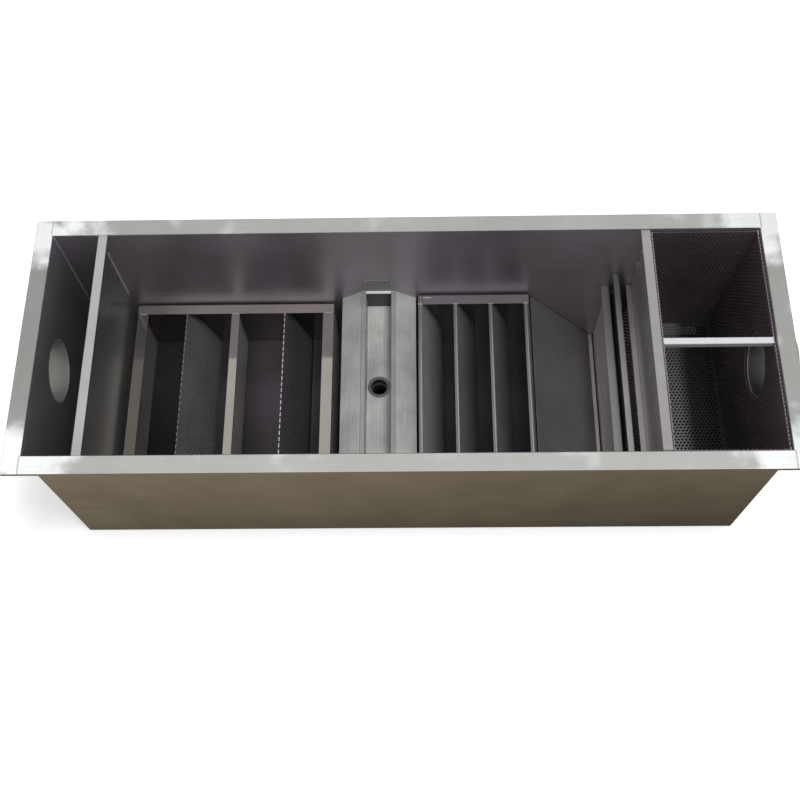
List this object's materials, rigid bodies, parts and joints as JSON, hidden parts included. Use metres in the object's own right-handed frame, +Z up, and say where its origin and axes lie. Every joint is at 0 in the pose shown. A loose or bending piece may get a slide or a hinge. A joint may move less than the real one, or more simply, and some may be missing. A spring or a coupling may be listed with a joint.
{
  "type": "grease trap",
  "caption": "Open stainless grease trap: long rimmed tank with pipe ports at both ends, baffles, oil trough, filter box, plate pack and strainer basket.",
  "frame": {"origin": "middle of the tank's underside", "axes": "+X to the inlet end, +Y to the rear wall, +Z up"},
  "size_m": [1.31, 0.46, 0.4],
  "materials": {
    "tank_sheet": "brushed, polished at the rim's corners",
    "pipe": "satin",
    "baffle_sheet": "mill finish",
    "trough_sheet": "brushed",
    "frame_sheet": "satin",
    "pack_sheet": "mill finish",
    "perforated_sheet": "mill finish, perforated"
  },
  "bodies": {
    "root": {"tank_body_sheet": "tank_sheet", "outlet_end_plate": "tank_sheet", "inlet_end_plate": "tank_sheet", "outlet_pipe": "pipe", "inlet_pipe": "pipe", "drain_socket": "pipe", "drain_pipe": "pipe", "drain_spigot": "pipe", "outlet_baffle": "baffle_sheet", "inlet_baffle": "baffle_sheet", "hanging_plate": "baffle_sheet", "weir_plate": "baffle_sheet", "slope_plate": "baffle_sheet", "oil_trough": "trough_sheet", "trough_bracket_rear": "trough_sheet", "trough_bracket_front": "trough_sheet", "filter_side_rear": "frame_sheet", "filter_side_front": "frame_sheet", "filter_rail_left": "frame_sheet", "filter_rail_mid": "frame_sheet", "filter_rail_right": "frame_sheet", "pack_side_rear": "frame_sheet", "pack_side_front": "frame_sheet", "basket_handle": "frame_sheet", "basket_ledge_rear": "frame_sheet", "basket_ledge_front": "frame_sheet", "pack_plate_1": "pack_sheet", "pack_plate_2": "pack_sheet", "pack_plate_3": "pack_sheet", "pack_plate_4": "pack_sheet", "filter_plate_1": "perforated_sheet", "filter_plate_2": "perforated_sheet", "filter_plate_3": "perforated_sheet", "filter_plate_4": "perforated_sheet", "filter_plate_5": "perforated_sheet", "basket_front": "perforated_sheet", "basket_rear": "perforated_sheet", "basket_left": "perforated_sheet", "basket_right": "perforated_sheet", "basket_floor": "perforated_sheet"}
  },
  "joints": []
}
